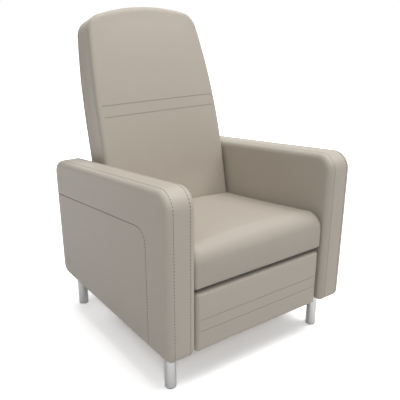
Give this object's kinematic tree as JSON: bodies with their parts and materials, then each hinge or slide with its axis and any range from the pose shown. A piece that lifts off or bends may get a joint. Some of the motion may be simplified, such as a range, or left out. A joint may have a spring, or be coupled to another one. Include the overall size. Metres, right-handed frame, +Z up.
{
  "type": "recliner armchair",
  "caption": "Upholstered recliner on round metal legs, whose tall tapered back and footrest panel move together through links under the seat.",
  "frame": {"origin": "on the floor, under the middle of the chair's bounding box", "axes": "+X to the right seen from the front, +Y from the front to the rear, +Z up from the floor"},
  "size_m": [0.753, 0.8576, 1.149],
  "materials": {
    "upholstery": "satin coated cloth with a fine grain",
    "seat_upholstery": "satin coated cloth with a fine grain",
    "plywood": "bare plywood",
    "timber": "planed timber",
    "leg_metal": "satin",
    "glide_plastic": "matt",
    "bearing_plastic": "matt",
    "fastener_steel": "zinc plated",
    "linkage_steel": "black powder coat"
  },
  "bodies": {
    "base": {"arm_inner_cover_right": "upholstery", "arm_inner_cover_left": "upholstery", "arm_band_right": "upholstery", "arm_band_left": "upholstery", "arm_outer_cover_right": "upholstery", "arm_outer_cover_left": "upholstery", "arm_outer_insert_right": "upholstery", "arm_outer_insert_left": "upholstery", "arm_inner_panel_right": "plywood", "arm_inner_panel_left": "plywood", "arm_outer_panel_right": "plywood", "arm_outer_panel_left": "plywood", "arm_frame_right": "timber", "arm_frame_left": "timber", "leg_front_right": "leg_metal", "leg_front_left": "leg_metal", "leg_rear_right": "leg_metal", "leg_rear_left": "leg_metal", "leg_glides": "glide_plastic", "leg_screws": "fastener_steel", "seat_cushion": "seat_upholstery", "seat_deck": "plywood", "seat_side_rail_right": "timber", "seat_side_rail_left": "timber", "seat_front_rail": "timber", "seat_rear_rail": "timber", "seat_nose_rail": "timber", "seat_bolts": "fastener_steel", "rear_panel": "upholstery", "rear_rail": "timber", "back_bearing_right": "bearing_plastic", "back_bearing_left": "bearing_plastic", "linkage_side_plate_right": "linkage_steel", "linkage_side_plate_left": "linkage_steel", "linkage_studs": "fastener_steel"},
    "back": {"back_cushion": "upholstery", "back_rear_panel": "upholstery", "back_frame": "timber", "back_hinge_right": "linkage_steel", "back_hinge_left": "linkage_steel", "hinge_bolts": "fastener_steel"},
    "lower_links": {"lower_link_right": "linkage_steel", "lower_link_left": "linkage_steel", "lower_link_pins": "fastener_steel", "torque_tube": "linkage_steel"},
    "upper_links": {"upper_link_right": "linkage_steel", "upper_link_left": "linkage_steel", "upper_link_pins": "fastener_steel", "footrest_cross_rod": "linkage_steel"},
    "footrest": {"footrest_pad": "upholstery", "footrest_board": "plywood", "footrest_bracket_right": "linkage_steel", "footrest_bracket_left": "linkage_steel"},
    "swing_links": {"swing_link_right": "linkage_steel", "swing_link_left": "linkage_steel"},
    "tilt_links": {"tilt_link_right": "linkage_steel", "tilt_link_left": "linkage_steel"},
    "drive_rods": {"drive_rod_right": "linkage_steel", "drive_rod_left": "linkage_steel"}
  },
  "joints": [
    {"name": "back_recline", "type": "hinge", "parent": "base", "child": "back", "pos_m": [0, 0.16585, 0.395], "axis": [-1, 0, 0], "range_deg": [0, 36]},
    {"name": "lower_link_swing", "type": "hinge", "parent": "base", "child": "lower_links", "pos_m": [0, -0.30515, 0.318], "axis": [-1, 0, 0], "range_deg": [0, 82.97]},
    {"name": "upper_link_fold", "type": "hinge", "parent": "lower_links", "child": "upper_links", "pos_m": [0, -0.28125, 0.1874], "axis": [-1, 0, 0], "range_deg": [-109.3, 0]},
    {"name": "footrest_tilt", "type": "hinge", "parent": "upper_links", "child": "footrest", "pos_m": [0, -0.35715, 0.3], "axis": [-1, 0, 0], "range_deg": [0, 109.84]},
    {"name": "swing_link_swing", "type": "hinge", "parent": "base", "child": "swing_links", "pos_m": [0, -0.32785, 0.2797], "axis": [-1, 0, 0], "range_deg": [0, 90.29]},
    {"name": "tilt_link_fold", "type": "hinge", "parent": "lower_links", "child": "tilt_links", "pos_m": [0, -0.26355, 0.1652], "axis": [-1, 0, 0], "range_deg": [-109.2, 0]},
    {"name": "drive_rod_turn", "type": "hinge", "parent": "back", "child": "drive_rods", "pos_m": [0, 0.19931, 0.292], "axis": [-1, 0, 0], "range_deg": [-36.19, 0]}
  ],
  "couplings": [
    {"joint": "lower_link_swing", "follows": "back_recline", "ratio": 2.3033},
    {"joint": "upper_link_fold", "follows": "back_recline", "ratio": -3.0347},
    {"joint": "footrest_tilt", "follows": "back_recline", "ratio": 3.0497},
    {"joint": "swing_link_swing", "follows": "back_recline", "ratio": 2.5067},
    {"joint": "tilt_link_fold", "follows": "back_recline", "ratio": -3.0319},
    {"joint": "drive_rod_turn", "follows": "back_recline", "ratio": -1.0039}
  ]
}
